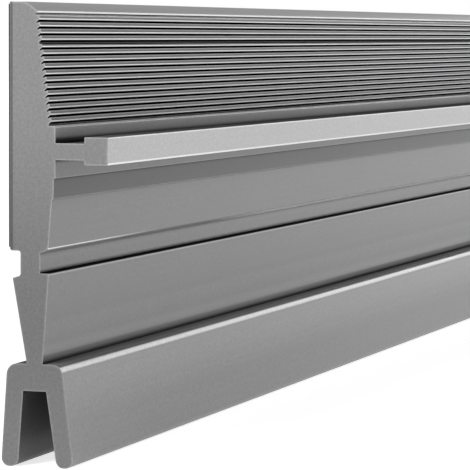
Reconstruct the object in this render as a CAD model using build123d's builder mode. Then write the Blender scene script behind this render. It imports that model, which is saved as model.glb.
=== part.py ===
from build123d import *
import math
import os

os.makedirs("parts", exist_ok=True)

# All lengths are millimetres and all angles degrees. The section is drawn as seen from the strip's
# near end: the flat back is at zero, the first coordinate grows forward to the fin and the second
# grows up from the floor.

# Whole strip
strip_length = 1000.0
strip_height = 45.0

# Foot with two splayed legs
foot_height = 10.05
foot_top_width = 5.62
foot_overhang = 0.32
shoulder_radius = 1.1
leg_tip_radius = 0.8
channel_height = 7.4
channel_top_width = 2.4
rear_leg_outer_splay = 3.8
rear_leg_inner_splay = 4.3
front_leg_outer_splay = 7.2
front_leg_inner_splay = 8.4

# Wedge that stands on the foot by a narrow neck
wedge_height = 8.8
neck_setback = 1.72
neck_width = 1.62
wedge_rear_setback = 0.26
wedge_rear_drop = 0.5
wedge_front_reach = 3.98

# Thin web that hinges the wedge under the block
web_height = 2.15
web_setback = 1.07
web_width = 2.02
web_foot_drop = 0.25
web_radius = 0.25
notch_roof_drop = 0.23
nose_rise = 0.42

# Block that lies against the door
top_flat_depth = 1.48
bevel_depth = 1.48
bevel_drop = 1.02
bevel_bulge = 0.07
block_top_radius = 0.1
block_bottom_radius = 0.25
block_nose_radius = 0.2
band_front = 4.68
band_drop = 16.97
upper_step = 0.16
middle_band_height = 1.95
middle_band_taper = 0.07
lower_step = 0.14
lower_step_drop = 0.1
nose_front = 3.92

# Ribs of the sloping upper front, with a slanted slot under each lip
slot_count = 17
slot_pitch = 0.65
rib_slope = 0.126
slot_depth = 0.3
slot_opening = 0.26
slot_drop = 0.28
slot_tip_width = 0.12
first_slot_drop = 0.12
wide_slot = 5
wide_slot_opening = 0.5
wide_slot_extra_pitch = 0.05
ledge_drop = 0.55
lip_radius = 0.17
tooth_radius = 0.04
band_corner_radius = 0.1

# Fin: a stem that carries a thicker head
fin_below_top = 14.37
stem_thickness = 1.62
stem_length = 3.0
head_rise = 0.08
head_thickness = 2.68
head_length = 2.42
head_face_lean = 0.07
head_front_radius = 0.15
head_rear_radius = 0.1

# Adhesive tape on the flat back
tape_thickness = 0.12
tape_edge_gap = 0.1


def slot_corners(number):
    """Lip, upper tip, lower tip and tooth of one slot, counted from the top."""
    below_lip = (number - 1) * slot_pitch
    if number > wide_slot:
        below_lip += wide_slot_extra_pitch
    opening = wide_slot_opening if number == wide_slot else slot_opening
    drop = first_slot_drop if number == 1 else slot_drop
    front = top_flat_depth + bevel_depth + below_lip * rib_slope
    height = strip_height - bevel_drop - below_lip
    return [
        (front, height),
        (front - slot_depth, height - drop),
        (front - slot_depth, height - drop - slot_tip_width),
        (front + opening * rib_slope, height - opening),
    ]


def spread(height, splay):
    """Sideways reach of a splayed leg face over a height."""
    return height * math.tan(math.radians(splay))


def round_off(points, radius):
    """Round the corners of the current section that lie at the given points."""
    corners = [section.vertices().sort_by_distance((x, y, 0))[0] for x, y in points]
    fillet(corners, radius)


# Heights of the joints between the block, web, wedge and foot
wedge_top = foot_height + wedge_height
block_bottom = wedge_top + web_height
notch_roof = block_bottom - notch_roof_drop
band_bottom = strip_height - band_drop

# Corners of the block, web and wedge
slots = [slot_corners(number) for number in range(1, slot_count + 1)]
first_lip = slots[0][0]
last_lip = slots[-1][0]
rib_outline = [corner for slot in slots for corner in slot][:-1]
band_corner = (band_front, last_lip[1] - ledge_drop)
middle_band_front = band_front - upper_step
middle_band_bottom = band_bottom - middle_band_height
panel_front = middle_band_front - middle_band_taper - lower_step
block_nose = (nose_front, notch_roof + nose_rise)
web_front = web_setback + web_width
web_rear_foot = (web_setback, wedge_top - web_foot_drop)

# Corners of the foot
foot_front = foot_top_width - foot_overhang
channel_rear = neck_setback + (neck_width - channel_top_width) / 2
channel_front = channel_rear + channel_top_width
rear_heel = (-foot_overhang - spread(foot_height, rear_leg_outer_splay), 0)
front_toe = (foot_front + spread(foot_height, front_leg_outer_splay), 0)
rear_inner = (channel_rear - spread(channel_height, rear_leg_inner_splay), 0)
front_inner = (channel_front + spread(channel_height, front_leg_inner_splay), 0)

# Corners of the fin
stem_height = strip_height - fin_below_top
stem_front = band_front + stem_length
head_front = stem_front + head_length
head_top = stem_height + head_rise + head_thickness / 2
head_bottom = head_top - head_thickness

with BuildSketch() as section:
    # Block with a rounded bevel over a ribbed, stepped and tapered front
    with BuildLine():
        SagittaArc((top_flat_depth, strip_height), first_lip, bevel_bulge)
        Polyline(
            *rib_outline,
            band_corner,
            (band_front, band_bottom),
            (middle_band_front, band_bottom),
            (middle_band_front - middle_band_taper, middle_band_bottom),
            (panel_front, middle_band_bottom - lower_step_drop),
            block_nose,
            (web_front, notch_roof),
            (web_setback, block_bottom),
            (0, block_bottom),
            (0, strip_height),
            (top_flat_depth, strip_height),
        )
    make_face()

    # Web and wedge
    with BuildLine():
        Polyline(
            (web_setback, block_bottom),
            (web_front, notch_roof),
            (web_front, wedge_top),
            (wedge_front_reach, wedge_top),
            (neck_setback + neck_width, foot_height),
            (neck_setback, foot_height),
            (wedge_rear_setback, wedge_top - wedge_rear_drop),
            web_rear_foot,
            close=True,
        )
    make_face()

    # Foot, open from below between its legs
    with BuildLine():
        Polyline(
            (-foot_overhang, foot_height),
            (foot_front, foot_height),
            front_toe,
            front_inner,
            (channel_front, channel_height),
            (channel_rear, channel_height),
            rear_inner,
            rear_heel,
            close=True,
        )
    make_face()

    # Fin, its stem run into the head
    with Locations((band_front, stem_height)):
        Rectangle(
            stem_length + head_length / 2,
            stem_thickness,
            align=(Align.MIN, Align.CENTER),
        )
    with BuildLine():
        Polyline(
            (stem_front, head_top),
            (head_front, head_top),
            (head_front - head_face_lean, head_bottom),
            (stem_front, head_bottom),
            close=True,
        )
    make_face()

    # Rounded edges
    round_off([slot[0] for slot in slots], lip_radius)
    round_off([slot[3] for slot in slots[:-1]], tooth_radius)
    round_off([band_corner], band_corner_radius)
    round_off([(0, strip_height)], block_top_radius)
    round_off([(0, block_bottom)], block_bottom_radius)
    round_off([block_nose], block_nose_radius)
    round_off([(web_setback, block_bottom), web_rear_foot], web_radius)
    round_off([(-foot_overhang, foot_height), (foot_front, foot_height)], shoulder_radius)
    round_off([rear_heel, rear_inner, front_inner, front_toe], leg_tip_radius)
    round_off([(head_front, head_top), (head_front - head_face_lean, head_bottom)], head_front_radius)
    round_off([(stem_front, head_top), (stem_front, head_bottom)], head_rear_radius)

# The strip runs along X, centred over the origin, with its back towards +Y.
section_middle = section.sketch.bounding_box().center().X
end_plane = Plane(
    origin=(strip_length / 2, section_middle, 0),
    x_dir=(0, -1, 0),
    z_dir=(-1, 0, 0),
)

# Strip, one extrusion of the whole section
with BuildPart() as seal_strip:
    with BuildSketch(end_plane):
        add(section.sketch)
    extrude(amount=strip_length)

seal_strip.part.label = "seal_strip"
export_step(seal_strip.part, "parts/seal_strip.step")

# Tape over the whole flat back, a little short of its two rounded edges
tape_bottom = block_bottom + block_bottom_radius + tape_edge_gap
tape_top = strip_height - block_top_radius - tape_edge_gap

with BuildPart() as adhesive_tape:
    with BuildSketch(end_plane):
        with Locations((0, tape_bottom)):
            Rectangle(
                tape_thickness,
                tape_top - tape_bottom,
                align=(Align.MAX, Align.MIN),
            )
    extrude(amount=strip_length)

adhesive_tape.part.label = "adhesive_tape"
export_step(adhesive_tape.part, "parts/adhesive_tape.step")
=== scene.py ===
import math

import bpy
from mathutils import Matrix, Vector


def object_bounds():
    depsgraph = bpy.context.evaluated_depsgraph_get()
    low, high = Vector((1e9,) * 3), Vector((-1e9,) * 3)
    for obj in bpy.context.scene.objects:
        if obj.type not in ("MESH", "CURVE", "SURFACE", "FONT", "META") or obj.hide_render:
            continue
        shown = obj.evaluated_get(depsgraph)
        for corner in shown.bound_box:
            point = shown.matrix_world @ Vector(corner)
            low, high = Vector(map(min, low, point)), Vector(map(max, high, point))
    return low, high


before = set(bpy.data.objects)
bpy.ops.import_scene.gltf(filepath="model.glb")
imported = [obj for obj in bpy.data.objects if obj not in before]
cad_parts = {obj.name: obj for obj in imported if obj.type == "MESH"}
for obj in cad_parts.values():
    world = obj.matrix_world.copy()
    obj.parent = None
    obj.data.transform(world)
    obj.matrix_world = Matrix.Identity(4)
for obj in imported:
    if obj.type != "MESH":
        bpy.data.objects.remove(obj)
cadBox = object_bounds()
scene = bpy.context.scene
scene.view_settings.view_transform = "Standard"
print("frame loaded:", sorted(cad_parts))

# Camera: it looks along the strip from near its left end
cameraSettings = {
    "place": (-0.768155, -0.106251, 0.041991),  # metres
    "heading": 18.1599,  # degrees from the strip's length towards the door
    "pitch": -3.8383,  # degrees, down
    "roll": 0.2191,  # degrees
    "focalLength": 229.787,  # mm on the sensor below
    "sensorWidth": 36.0,
    "clip": (0.01, 50.0),  # metres
}


def makeCamera(settings):
    data = bpy.data.cameras.new("photoCamera")
    data.sensor_fit = "HORIZONTAL"
    data.sensor_width = settings["sensorWidth"]
    data.lens = settings["focalLength"]
    data.clip_start, data.clip_end = settings["clip"]
    camera = bpy.data.objects.new("photoCamera", data)
    scene.collection.objects.link(camera)
    turn = (
        Matrix.Rotation(math.radians(settings["heading"] - 90), 4, "Z")
        @ Matrix.Rotation(math.radians(settings["pitch"] + 90), 4, "X")
        @ Matrix.Rotation(math.radians(settings["roll"]), 4, "Z")
    )
    camera.matrix_world = Matrix.Translation(settings["place"]) @ turn
    scene.camera = camera


makeCamera(cameraSettings)
print("camera set")


# Helpers for node trees
def addNode(tree, kind, place, **values):
    node = tree.nodes.new(kind)
    node.location = place
    for name, value in values.items():
        setattr(node, name, value)
    return node


def wire(tree, source, target):
    tree.links.new(source, target)


# A math node from numbers or other nodes' outputs
def addMath(tree, place, operation, *values):
    node = addNode(tree, "ShaderNodeMath", place, operation=operation)
    for socket, value in zip(node.inputs, values):
        if isinstance(value, (int, float)):
            socket.default_value = value
        else:
            wire(tree, value, socket)
    return node.outputs[0]


def newGroup(name, inputs, outputs):
    group = bpy.data.node_groups.new(name, "ShaderNodeTree")
    for label, kind, value in inputs:
        socket = group.interface.new_socket(name=label, in_out="INPUT", socket_type=kind)
        socket.default_value = value
    for label, kind in outputs:
        group.interface.new_socket(name=label, in_out="OUTPUT", socket_type=kind)
    return group


def newMaterial(name):
    material = bpy.data.materials.new(name)
    material.use_nodes = True
    material.node_tree.nodes.clear()
    return material


# Noises in the skin of an extruded part: scale per metre, or one each for along, across and
# height, and how many finer layers are in them
skinNoises = {
    "dieLines": {"scale": (2, 2600, 2600), "detail": 3},
    "relief": {"scale": 9000, "detail": 2},
    "specks": {"scale": 3500, "detail": 3},
    "clouds": {"scale": (60, 240, 240), "detail": 4},
}

# How open a groove is where its painted shade is full and where it ends, and how thick the material
# behind an edge is where its painted highlight and wear begin and where they are full, both from 0 to 1
skinShade = {"grooves": (0.42, 0.95), "edges": (0.95, 0.6), "raySamples": 12}


# Skin of an extruded part: die lines along its length, fine grain, soft clouds, paler edges as a
# painted highlight with some wear, and painted shade with less gloss in its grooves
def buildExtrudedSkin(noises, shade):
    inputs = (
        ("Base", "NodeSocketColor", (0.3, 0.3, 0.3, 1)),
        ("Cloud Amount", "NodeSocketFloat", 0.05),
        ("Grain Amount", "NodeSocketFloat", 0.1),
        ("Streak Amount", "NodeSocketFloat", 0.1),
        ("Line Amount", "NodeSocketFloat", 0.4),
        ("Groove Reach", "NodeSocketFloat", 0.0006),
        ("Groove Shade", "NodeSocketFloat", 0.2),
        ("Edge Reach", "NodeSocketFloat", 0.0002),
        ("Edge Lift", "NodeSocketFloat", 1.0),
        ("Roughness", "NodeSocketFloat", 0.4),
        ("Roughness Spread", "NodeSocketFloat", 0.06),
    )
    outputs = (
        ("Color", "NodeSocketColor"),
        ("Roughness", "NodeSocketFloat"),
        ("Height", "NodeSocketFloat"),
        ("Openness", "NodeSocketFloat"),
    )
    group = newGroup("extrudedSkin", inputs, outputs)
    given = addNode(group, "NodeGroupInput", (-900, 0)).outputs
    result = addNode(group, "NodeGroupOutput", (1100, 0)).inputs
    spot = addNode(group, "ShaderNodeTexCoord", (-1400, -200)).outputs["Object"]

    # A noise that swings evenly about 0
    def swing(name, place):
        source = spot
        scale = noises[name]["scale"]
        if isinstance(scale, tuple):
            stretched = addNode(group, "ShaderNodeMapping", (place[0] - 200, place[1]))
            stretched.inputs["Scale"].default_value = scale
            wire(group, spot, stretched.inputs["Vector"])
            source, scale = stretched.outputs["Vector"], 1
        noise = addNode(group, "ShaderNodeTexNoise", place)
        noise.inputs["Scale"].default_value = scale
        noise.inputs["Detail"].default_value = noises[name]["detail"]
        wire(group, source, noise.inputs["Vector"])
        return addMath(group, (place[0] + 200, place[1]), "SUBTRACT", noise.outputs["Fac"], 0.5)

    # 0 to 1 over the given range of how open the space is in front of the surface or inside it
    def room(reach, limits, inside, place):
        rays = addNode(group, "ShaderNodeAmbientOcclusion", place, only_local=True, inside=inside)
        rays.samples = shade["raySamples"]
        wire(group, reach, rays.inputs["Distance"])
        spread = addNode(group, "ShaderNodeMapRange", (place[0] + 200, place[1]))
        spread.inputs["From Min"].default_value, spread.inputs["From Max"].default_value = limits
        wire(group, rays.outputs["AO"], spread.inputs["Value"])
        return spread

    lines = swing("dieLines", (-900, 500))
    relief = swing("relief", (-900, 300))
    specks = swing("specks", (-900, -300))
    clouds = swing("clouds", (-900, -500))

    # Painted shade: grooves are darker the more they are closed in. Painted highlight with some wear:
    # edges paler the thinner they are
    grooves = room(given["Groove Reach"], shade["grooves"], False, (-600, -800))
    wire(group, given["Groove Shade"], grooves.inputs["To Min"])
    openness = grooves.outputs["Result"]
    edgeHighlightAndWear = room(given["Edge Reach"], shade["edges"], True, (-600, -1100)).outputs["Result"]
    lift = addMath(group, (-200, -1100), "MULTIPLY_ADD", edgeHighlightAndWear, given["Edge Lift"], 1)

    # Colour: the base, a little lighter and darker in streaks, specks and clouds, then painted shade in
    # grooves and a painted highlight with some wear on thin edges
    level = addMath(group, (-400, -100), "MULTIPLY_ADD", lines, given["Streak Amount"], 1)
    level = addMath(group, (-300, -300), "MULTIPLY_ADD", specks, given["Grain Amount"], level)
    level = addMath(group, (-200, -500), "MULTIPLY_ADD", clouds, given["Cloud Amount"], level)
    level = addMath(group, (0, -700), "MULTIPLY", level, openness)
    level = addMath(group, (200, -800), "MULTIPLY", level, lift)
    tint = addNode(group, "ShaderNodeVectorMath", (400, -400), operation="SCALE")
    wire(group, given["Base"], tint.inputs[0])
    wire(group, level, tint.inputs["Scale"])
    wire(group, tint.outputs["Vector"], result["Color"])

    rough = addMath(
        group, (-150, 100), "MULTIPLY_ADD", clouds, given["Roughness Spread"], given["Roughness"]
    )
    wire(group, rough, result["Roughness"])
    height = addMath(group, (-150, 350), "MULTIPLY_ADD", lines, given["Line Amount"], relief)
    wire(group, height, result["Height"])
    wire(group, openness, result["Openness"])
    return group


# Mask of a zone: 1 between its low and high corners and between two upward components of the
# normal, 0 elsewhere, blended at all its limits. It may come again below itself at a pitch.
def buildZoneMask():
    inputs = (
        ("Low", "NodeSocketVector", (-1, -1, -1)),
        ("High", "NodeSocketVector", (1, 1, 1)),
        ("Blend", "NodeSocketVector", (0.00003, 0.00003, 0.00003)),
        ("Facing Low", "NodeSocketFloat", -2.0),
        ("Facing High", "NodeSocketFloat", 2.0),
        ("Facing Blend", "NodeSocketFloat", 0.05),
        ("Pitch", "NodeSocketFloat", 1.0),
        ("Repeats", "NodeSocketFloat", 0.0),
    )
    group = newGroup("zoneMask", inputs, (("Mask", "NodeSocketFloat"),))
    given = addNode(group, "NodeGroupInput", (-1200, 0)).outputs
    result = addNode(group, "NodeGroupOutput", (1200, 0)).inputs
    where = addNode(group, "ShaderNodeTexCoord", (-1200, 400)).outputs

    def split(source, place):
        parts = addNode(group, "ShaderNodeSeparateXYZ", place)
        wire(group, source, parts.inputs[0])
        return parts.outputs

    # 0 on the outer side of a limit and 1 on its inner side, with the blend on each side of it
    def ramp(value, limit, outer, inner, blend, place):
        step = addNode(group, "ShaderNodeMapRange", place, interpolation_type="SMOOTHSTEP")
        wire(group, value, step.inputs["Value"])
        for side, socket in ((outer, "From Min"), (inner, "From Max")):
            shift = addMath(group, (place[0] - 200, place[1]), "MULTIPLY_ADD", blend, side, limit)
            wire(group, shift, step.inputs[socket])
        return step.outputs["Result"]

    spot = split(where["Object"], (-1000, 400))
    low = split(given["Low"], (-1000, 200))
    high = split(given["High"], (-1000, 0))
    blend = split(given["Blend"], (-1000, -200))
    # The height is brought back to the first zone from the repeat that it is nearest to
    middle = addMath(group, (-900, 700), "ADD", low["Z"], high["Z"])
    middle = addMath(group, (-800, 700), "MULTIPLY", middle, 0.5)
    below = addMath(group, (-700, 700), "SUBTRACT", middle, spot["Z"])
    count = addMath(group, (-600, 700), "DIVIDE", below, given["Pitch"])
    count = addMath(group, (-500, 700), "ROUND", count)
    count = addMath(group, (-400, 700), "MAXIMUM", count, 0)
    count = addMath(group, (-300, 700), "MINIMUM", count, given["Repeats"])
    height = addMath(group, (-200, 700), "MULTIPLY_ADD", count, given["Pitch"], spot["Z"])
    limits = [(spot[axis], low[axis], high[axis], blend[axis]) for axis in ("X", "Y")]
    limits.append((height, low["Z"], high["Z"], blend["Z"]))
    upward = split(where["Normal"], (-1000, -400))["Z"]
    limits.append((upward, given["Facing Low"], given["Facing High"], given["Facing Blend"]))
    mask = 1
    for row, (value, lowest, highest, reach) in enumerate(limits):
        rise = ramp(value, lowest, -1, 1, reach, (-500, 400 - 300 * row))
        fall = ramp(value, highest, 1, -1, reach, (-300, 400 - 300 * row))
        mask = addMath(group, (200 + 200 * row, 0), "MULTIPLY", mask, rise)
        mask = addMath(group, (300 + 200 * row, -100), "MULTIPLY", mask, fall)
    wire(group, mask, result["Mask"])
    return group


extrudedSkin = buildExtrudedSkin(skinNoises, skinShade)
zoneMask = buildZoneMask()

# Looks: reaches and bump distance are in metres, and palest is the whitest that a zone may get.
# The skin's roughness is for viewers that show no coat.
rubberLook = {
    "skin": {
        "Base": (0.27, 0.27, 0.27, 1),
        "Cloud Amount": 0.06,
        "Grain Amount": 0.55,
        "Streak Amount": 0.15,
        "Line Amount": 0.8,
        "Groove Reach": 0.00045,
        "Groove Shade": 0.02,
        "Edge Reach": 0.00022,
        "Edge Lift": 0.5,
        "Roughness": 0.34,
        "Roughness Spread": 0.05,
    },
    "bumpStrength": 0.05,
    "bumpDistance": 0.00003,
    "glossIor": 1.38,
    "glossRoughness": 0.34,
    "palest": 0.95,
}

tapeLook = {
    "skin": {
        "Base": (0.012, 0.012, 0.012, 1),
        "Cloud Amount": 0.2,
        "Grain Amount": 0.1,
        "Streak Amount": 0.1,
        "Line Amount": 0.2,
        "Groove Reach": 0.0005,
        "Groove Shade": 0.8,
        "Edge Reach": 0.0001,
        "Edge Lift": 0.2,
        "Roughness": 0.6,
        "Roughness Spread": 0.1,
    },
    "bumpStrength": 0.1,
    "bumpDistance": 0.00002,
    "glossIor": 1.45,
    "glossRoughness": 0.6,
    "palest": 0.95,
}

metresPerMillimetre = 0.001
halfLength = cadBox[1][0] / metresPerMillimetre
cutEdge = halfLength - 0.1  # where the zones of the long faces end
endFace = halfLength - 0.05  # where the zones of the cut ends begin
beyond = 1000  # further out than any face

# Zones of the rubber that are paler or darker than the rest, mostly painted highlights and painted
# shade on the one grey rubber, all in millimetres: across runs from the fin to the tape, height up
# from the floor and along from the near end to the far one. facing is the range of the upward
# component of the normal, tint and shine are the factors for colour and gloss, and blend is how far a
# zone's limits blur along, across and in height. A zone with repeats comes again that many times below
# itself, a pitch apart.
rubberZones = {
    # Front of the block above the fin: painted shade on the plain band, rib faces, creases above the lips,
    # slots, bevel and in a shadow above the stem; painted highlights on the rib lips, the first lip, the
    # first rib face, the last ledge and the band's far part
    "plainBand": {"across": (-0.6, 4), "height": (31.4, 33), "tint": 0.64},
    "farPlainBand": {
        "along": (-410, cutEdge - 40),
        "across": (-0.6, 4),
        "height": (31.4, 33),
        "blend": (40, 0.03, 0.03),
        "tint": 1.24,
    },
    "ribbedFront": {"across": (-0.6, 4), "height": (33.2, 44.1), "tint": 0.32, "shine": 0.91},
    "ribLips": {
        "across": (-0.6, 4),
        "height": (33.2, 44.1),
        "facing": (-0.62, 0.02),
        "tint": 11.5,
        "shine": 1,
    },
    "lowRibLips": {
        "across": (-0.6, 4),
        "height": (33.2, 37.2),
        "facing": (-0.62, 0.02),
        "blend": (0.03, 0.03, 2),
        "tint": 1.3,
    },
    "firstLip": {
        "across": (0.8, 2.5),
        "height": (43.7, 44.08),
        "facing": (0.02, 0.6),
        "tint": 11.5,
        "shine": 1,
    },
    "firstRibFace": {"across": (0, 3), "height": (43.45, 43.76), "facing": (0.05, 0.6), "tint": 2.4},
    "upperRibCreases": {
        "across": (0.2, 1.7),
        "height": (43.43, 43.6),
        "facing": (0.05, 0.3),
        "tint": 0.25,
        "pitch": 0.65,
        "repeats": 3,
    },
    "lowerRibCreases": {
        "across": (0.2, 1.7),
        "height": (40.78, 40.95),
        "facing": (0.05, 0.3),
        "tint": 0.25,
        "pitch": 0.65,
        "repeats": 11,
    },
    "wideSlotFaces": {"across": (0, 3), "height": (40.7, 41.2), "facing": (0.05, 1.1), "tint": 0.35},
    "wideSlotWall": {"across": (1.5, 1.75), "height": (40.9, 41.25), "tint": 0.05},
    "slotRoofs": {
        "across": (-0.6, 4),
        "height": (33.2, 44.1),
        "facing": (-1.1, -0.68),
        "tint": 0.05,
        "shine": 0.2,
    },
    "slotFloors": {
        "across": (-0.6, 4),
        "height": (33.4, 43.6),
        "facing": (0.75, 1.1),
        "tint": 0.05,
        "shine": 0.2,
    },
    "lastSlotWall": {"across": (0.58, 0.75), "height": (33.1, 33.3), "tint": 0.3},
    "lastLedge": {
        "across": (0.02, 0.56),
        "height": (32.9, 33.16),
        "facing": (0.8, 1.1),
        "tint": 5,
        "shine": 1,
    },
    "aboveStem": {
        "across": (-1, 0.6),
        "height": (30.8, 31.95),
        "blend": (0.03, 0.03, 0.22),
        "tint": 0.08,
        "shine": 0.3,
    },
    "bevel": {
        "across": (1.2, 3.5),
        "height": (43.8, 45.1),
        "facing": (0.6, 0.95),
        "tint": 0.64,
        "shine": 0.8,
    },
    # Fin: painted shade on the tops of its stem and head, painted light on its face and painted highlights
    # along its top and lower edges
    "stemTop": {
        "across": (-3, 0.3),
        "height": (31, 31.8),
        "facing": (0.8, 1.1),
        "tint": 0.2,
        "shine": 0.2,
    },
    "finTop": {
        "across": (-6, -2.5),
        "height": (31.8, 32.5),
        "facing": (0.85, 1.1),
        "tint": 0.4,
        "shine": 0,
    },
    "finFace": {"across": (-6, -5.28), "height": (29, 32.5), "tint": 1.58},
    "finTopEdge": {"across": (-6, -5.1), "height": (31.5, 32.5), "facing": (0.2, 0.85), "tint": 1.5},
    "finLowEdge": {"across": (-6, -5.1), "height": (29, 29.57), "facing": (-0.85, 0.1), "tint": 2.1},
    # Front of the block below the fin: the fin's painted shadow under it and in the dark band, painted
    # shade on the panels, a painted highlight along the nose near the near end and painted light on the
    # nose's underside further along
    "underFin": {"across": (-0.5, 0.5), "height": (28, 29.9), "tint": 0.55, "shine": 0.93},
    "darkBand": {"across": (-0.5, 0.5), "height": (26.1, 28), "tint": 0.2, "shine": 0.74},
    "frontPanels": {
        "across": (-0.6, 3.5),
        "height": (10.15, 26.05),
        "facing": (-0.75, 0.5),
        "tint": 0.55,
        "shine": 0.86,
    },
    "noseEdge": {
        "along": (-halfLength - 20, -478),
        "across": (0.3, 1.4),
        "height": (21.13, 21.3),
        "facing": (-0.8, -0.07),
        "blend": (12, 0.03, 0.03),
        "tint": 5.5,
    },
    "noseUnderside": {
        "along": (-440, halfLength + 15),
        "across": (0.3, 1.8),
        "height": (20.5, 21.18),
        "facing": (-1.1, -0.75),
        "blend": (15, 0.03, 0.03),
        "tint": 3.6,
    },
    # Wedge and foot: painted shade on the wedge's top and its line, along the wedge's foot, on the ledges
    # and in the channel; painted light on the wedge's lower part, the web's foot and the far low front,
    # and painted highlights on the wedge's top edge and the shoulder
    "wedgeTop": {
        "across": (0, 3),
        "height": (18, 19.5),
        "facing": (0.8, 1.1),
        "tint": 0.15,
        "shine": 0.2,
    },
    "wedgeTopLine": {"across": (0.5, 1.6), "height": (18.8, 18.93), "tint": 0.1, "shine": 0.3},
    "wedgeFoot": {
        "across": (0, 1.6),
        "height": (9.9, 10.85),
        "facing": (-0.5, 0.3),
        "blend": (0.03, 0.03, 0.2),
        "tint": 0.46,
        "shine": 0.83,
    },
    "farWedgeFoot": {
        "along": (-400, cutEdge - 25),
        "across": (0, 1.6),
        "height": (9.9, 10.9),
        "facing": (-0.5, 0.3),
        "blend": (25, 0.03, 0.15),
        "tint": 0.5,
    },
    "wedgeLow": {
        "across": (0, 1.6),
        "height": (10.6, 14),
        "facing": (-0.5, 0.3),
        "blend": (0.03, 0.03, 0.3),
        "tint": 1.15,
    },
    "wedgeLowest": {
        "across": (0, 1.6),
        "height": (10.6, 11.8),
        "facing": (-0.5, 0.3),
        "blend": (0.03, 0.03, 0.5),
        "tint": 1.3,
    },
    "wedgeTopEdge": {"across": (0.5, 0.8), "height": (18.62, 18.79), "facing": (-0.5, 0.5), "tint": 1.8},
    "webFoot": {
        "across": (1.4, 1.6),
        "height": (18.95, 19.4),
        "facing": (-0.5, 0.5),
        "blend": (0.03, 0.03, 0.15),
        "tint": 1.35,
    },
    "footLedge": {
        "across": (-5, 3),
        "height": (8, 11),
        "facing": (0.74, 1.1),
        "tint": 0.44,
        "shine": 0.4,
    },
    "rearLedge": {
        "across": (2.9, 5.6),
        "height": (8, 11),
        "facing": (0.3, 1.1),
        "tint": 0.1,
        "shine": 0.2,
    },
    "farLowFront": {
        "along": (-400, cutEdge - 50),
        "across": (-3, 1.7),
        "height": (-1, 18.8),
        "facing": (-0.5, 0.3),
        "blend": (50, 0.03, 0.03),
        "tint": 1.14,
    },
    "shoulder": {"across": (-1.2, 1), "height": (8, 10.1), "facing": (0.32, 0.72), "tint": 2.1},
    "channel": {"across": (-0.4, 4.2), "height": (-1, 7.45), "tint": 0.5, "shine": 0.74},
}

# Zones of both cut ends: darker next to the tape, and painted shade towards the bottom
endZones = {
    "Seam": {
        "across": (4.3, 5),
        "height": (20.8, 45.1),
        "blend": (0.02, 0.08, 0.03),
        "tint": 0.5,
        "shine": 0.5,
    },
    "Foot": {"across": (-beyond, beyond), "height": (4, 26), "blend": (0.02, 0.03, 10), "tint": 0.7},
}
for endName, endReach in (("nearEnd", (-beyond, -endFace)), ("farEnd", (endFace, beyond))):
    for zoneName, endZone in endZones.items():
        rubberZones[endName + zoneName] = {"along": endReach, **endZone}

# What a zone has where it says nothing else
plainZone = {
    "along": (-cutEdge, cutEdge),
    "blend": (0.03, 0.03, 0.03),
    "facing": (-2, 2),
    "pitch": 1,
    "repeats": 0,
}


def makeZone(tree, settings, place):
    settings = {**plainZone, **settings}
    zone = addNode(tree, "ShaderNodeGroup", place, node_tree=zoneMask)
    lows, highs = zip(settings["along"], settings["across"], settings["height"])
    for socket, sizes in (("Low", lows), ("High", highs), ("Blend", settings["blend"])):
        zone.inputs[socket].default_value = [size * metresPerMillimetre for size in sizes]
    zone.inputs["Facing Low"].default_value, zone.inputs["Facing High"].default_value = settings["facing"]
    zone.inputs["Pitch"].default_value = settings["pitch"] * metresPerMillimetre
    zone.inputs["Repeats"].default_value = settings["repeats"]
    return zone.outputs["Mask"]


# 1 outside a zone and the given factor inside
def zoneFactor(tree, mask, factor, place):
    level = addNode(tree, "ShaderNodeMapRange", place)
    level.inputs["To Min"].default_value = 1
    level.inputs["To Max"].default_value = factor
    wire(tree, mask, level.inputs["Value"])
    return level.outputs["Result"]


def buildSkinMaterial(name, look, zones):
    material = newMaterial(name)
    tree = material.node_tree
    skin = addNode(tree, "ShaderNodeGroup", (-1200, 0), node_tree=extrudedSkin)
    for socket, value in look["skin"].items():
        skin.inputs[socket].default_value = value
    colour = skin.outputs["Color"]
    shine = skin.outputs["Openness"]
    # Each zone's tint paints highlights and shade into the colour, and its shine scales the gloss
    for step, zone in enumerate(zones.values()):
        column = 200 * step - 800
        mask = makeZone(tree, zone, (column, 500))
        tinted = addNode(tree, "ShaderNodeVectorMath", (column, 100), operation="SCALE")
        wire(tree, colour, tinted.inputs[0])
        wire(tree, zoneFactor(tree, mask, zone["tint"], (column, 300)), tinted.inputs["Scale"])
        colour = tinted.outputs["Vector"]
        if "shine" in zone:
            dulled = zoneFactor(tree, mask, zone["shine"], (column, -100))
            shine = addMath(tree, (column, -300), "MULTIPLY", shine, dulled)
    last = 200 * len(zones) - 600
    limited = addNode(tree, "ShaderNodeVectorMath", (last, 100), operation="MINIMUM")
    limited.inputs[1].default_value = (look["palest"],) * 3
    wire(tree, colour, limited.inputs[0])
    bump = addNode(tree, "ShaderNodeBump", (last, -400))
    bump.inputs["Strength"].default_value = look["bumpStrength"]
    bump.inputs["Distance"].default_value = look["bumpDistance"]
    wire(tree, skin.outputs["Height"], bump.inputs["Height"])
    surface = addNode(tree, "ShaderNodeBsdfPrincipled", (last + 200, 0))
    # All gloss is the coat's, because its weight may change over the surface
    surface.inputs["Specular IOR Level"].default_value = 0
    surface.inputs["Coat IOR"].default_value = look["glossIor"]
    surface.inputs["Coat Roughness"].default_value = look["glossRoughness"]
    wire(tree, limited.outputs["Vector"], surface.inputs["Base Color"])
    wire(tree, shine, surface.inputs["Coat Weight"])
    wire(tree, skin.outputs["Roughness"], surface.inputs["Roughness"])
    wire(tree, bump.outputs["Normal"], surface.inputs["Normal"])
    output = addNode(tree, "ShaderNodeOutputMaterial", (last + 500, 0))
    wire(tree, surface.outputs["BSDF"], output.inputs["Surface"])
    return material


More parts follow.
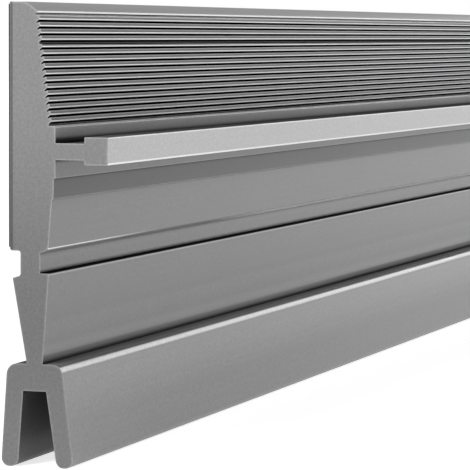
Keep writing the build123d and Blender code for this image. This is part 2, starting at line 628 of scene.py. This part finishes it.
def dress(node, material):
    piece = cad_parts[node]
    piece.data.materials.clear()
    piece.data.materials.append(material)


dress("seal_strip", buildSkinMaterial("greyRubber", rubberLook, rubberZones))
dress("adhesive_tape", buildSkinMaterial("adhesiveTape", tapeLook, {}))
print("materials set")

# Studio: a pale floor and a white world, both plain white to the camera
studio = {
    "floorSize": 60.0,  # metres
    "floorColour": 0.8,
    "nearGlow": 0.75,  # what the floor adds near the strip for the rays that show it
    "farGlow": 1.0,  # the same far away, where less lamp light reaches it
    "glowChange": (0.4, 2.5),  # metres from the strip's middle
    "ambient": 0.04,  # what the world gives to the object
}


# 1 for the rays that show the background, 0 for those that light the object
def seenDirectly(tree, place):
    path = addNode(tree, "ShaderNodeLightPath", place).outputs
    seen = addMath(
        tree, (place[0] + 200, place[1]), "MAXIMUM", path["Is Camera Ray"], path["Is Glossy Ray"]
    )
    return addMath(tree, (place[0] + 400, place[1]), "MAXIMUM", seen, path["Is Transmission Ray"])


def makeFloor(settings):
    half = settings["floorSize"] / 2
    mesh = bpy.data.meshes.new("studioFloor")
    corners = [(-half, -half, 0), (half, -half, 0), (half, half, 0), (-half, half, 0)]
    mesh.from_pydata(corners, [], [(0, 1, 2, 3)])
    floor = bpy.data.objects.new("studioFloor", mesh)
    scene.collection.objects.link(floor)
    material = newMaterial("paleFloor")
    tree = material.node_tree
    matt = addNode(tree, "ShaderNodeBsdfDiffuse", (0, 200))
    matt.inputs["Color"].default_value = (settings["floorColour"],) * 3 + (1,)
    spot = addNode(tree, "ShaderNodeTexCoord", (-1000, -300))
    distance = addNode(tree, "ShaderNodeVectorMath", (-800, -300), operation="LENGTH")
    wire(tree, spot.outputs["Object"], distance.inputs[0])
    level = addNode(tree, "ShaderNodeMapRange", (-500, -300))
    level.inputs["From Min"].default_value, level.inputs["From Max"].default_value = settings["glowChange"]
    level.inputs["To Min"].default_value = settings["nearGlow"]
    level.inputs["To Max"].default_value = settings["farGlow"]
    wire(tree, distance.outputs["Value"], level.inputs["Value"])
    glow = addNode(tree, "ShaderNodeEmission", (0, 0))
    strength = addMath(tree, (-200, 0), "MULTIPLY", seenDirectly(tree, (-800, 0)), level.outputs["Result"])
    wire(tree, strength, glow.inputs["Strength"])
    both = addNode(tree, "ShaderNodeAddShader", (200, 100))
    output = addNode(tree, "ShaderNodeOutputMaterial", (400, 100))
    wire(tree, matt.outputs[0], both.inputs[0])
    wire(tree, glow.outputs[0], both.inputs[1])
    wire(tree, both.outputs[0], output.inputs["Surface"])
    mesh.materials.append(material)


def makeWorld(settings):
    world = bpy.data.worlds.new("studioWorld")
    world.use_nodes = True
    tree = world.node_tree
    tree.nodes.clear()
    background = addNode(tree, "ShaderNodeBackground", (0, 0))
    background.inputs["Color"].default_value = (1, 1, 1, 1)
    reach = addNode(tree, "ShaderNodeMapRange", (-200, 0))
    reach.inputs["To Min"].default_value = settings["ambient"]
    reach.inputs["To Max"].default_value = 1
    wire(tree, seenDirectly(tree, (-800, 0)), reach.inputs["Value"])
    wire(tree, reach.outputs["Result"], background.inputs["Strength"])
    output = addNode(tree, "ShaderNodeOutputWorld", (200, 0))
    wire(tree, background.outputs[0], output.inputs["Surface"])
    scene.world = world


# Soft lamps: place and target in metres, size across and along in metres, power in watts
lamps = {
    "keySoftbox": {
        "place": (0.7, -1.7, 1.0),
        "target": (-0.25, 0, 0.02),
        "size": (1.6, 0.5),
        "power": 22,
    },
    "lowFrontPanel": {
        "place": (0.1, -0.62, 0.004),
        "target": (0.1, -0.62, 1),
        "size": (2.0, 1.2),
        "power": 4.5,
    },
    "farRightSoftbox": {
        "place": (2.3, -0.55, 0.75),
        "target": (-0.3, 0, 0.02),
        "size": (1.2, 0.7),
        "power": 8,
    },
    "endSoftbox": {
        "place": (-0.68, 0.08, 0.2),
        "target": (-0.5, 0, 0.03),
        "size": (0.1, 0.1),
        "power": 0.55,
    },
    "rearSoftbox": {
        "place": (0.2, 1.6, 0.9),
        "target": (0, 0, 0.02),
        "size": (2.0, 0.8),
        "power": 12,
    },
}


def makeLamp(name, settings):
    data = bpy.data.lights.new(name, "AREA")
    data.shape = "RECTANGLE"
    data.size, data.size_y = settings["size"]
    data.energy = settings["power"]
    lamp = bpy.data.objects.new(name, data)
    lamp.visible_camera = False
    scene.collection.objects.link(lamp)
    place = Vector(settings["place"])
    aim = Vector(settings["target"]) - place
    lamp.matrix_world = Matrix.Translation(place) @ aim.to_track_quat("-Z", "Y").to_matrix().to_4x4()


makeFloor(studio)
makeWorld(studio)
for lampName, lampSettings in lamps.items():
    makeLamp(lampName, lampSettings)
print("studio set")
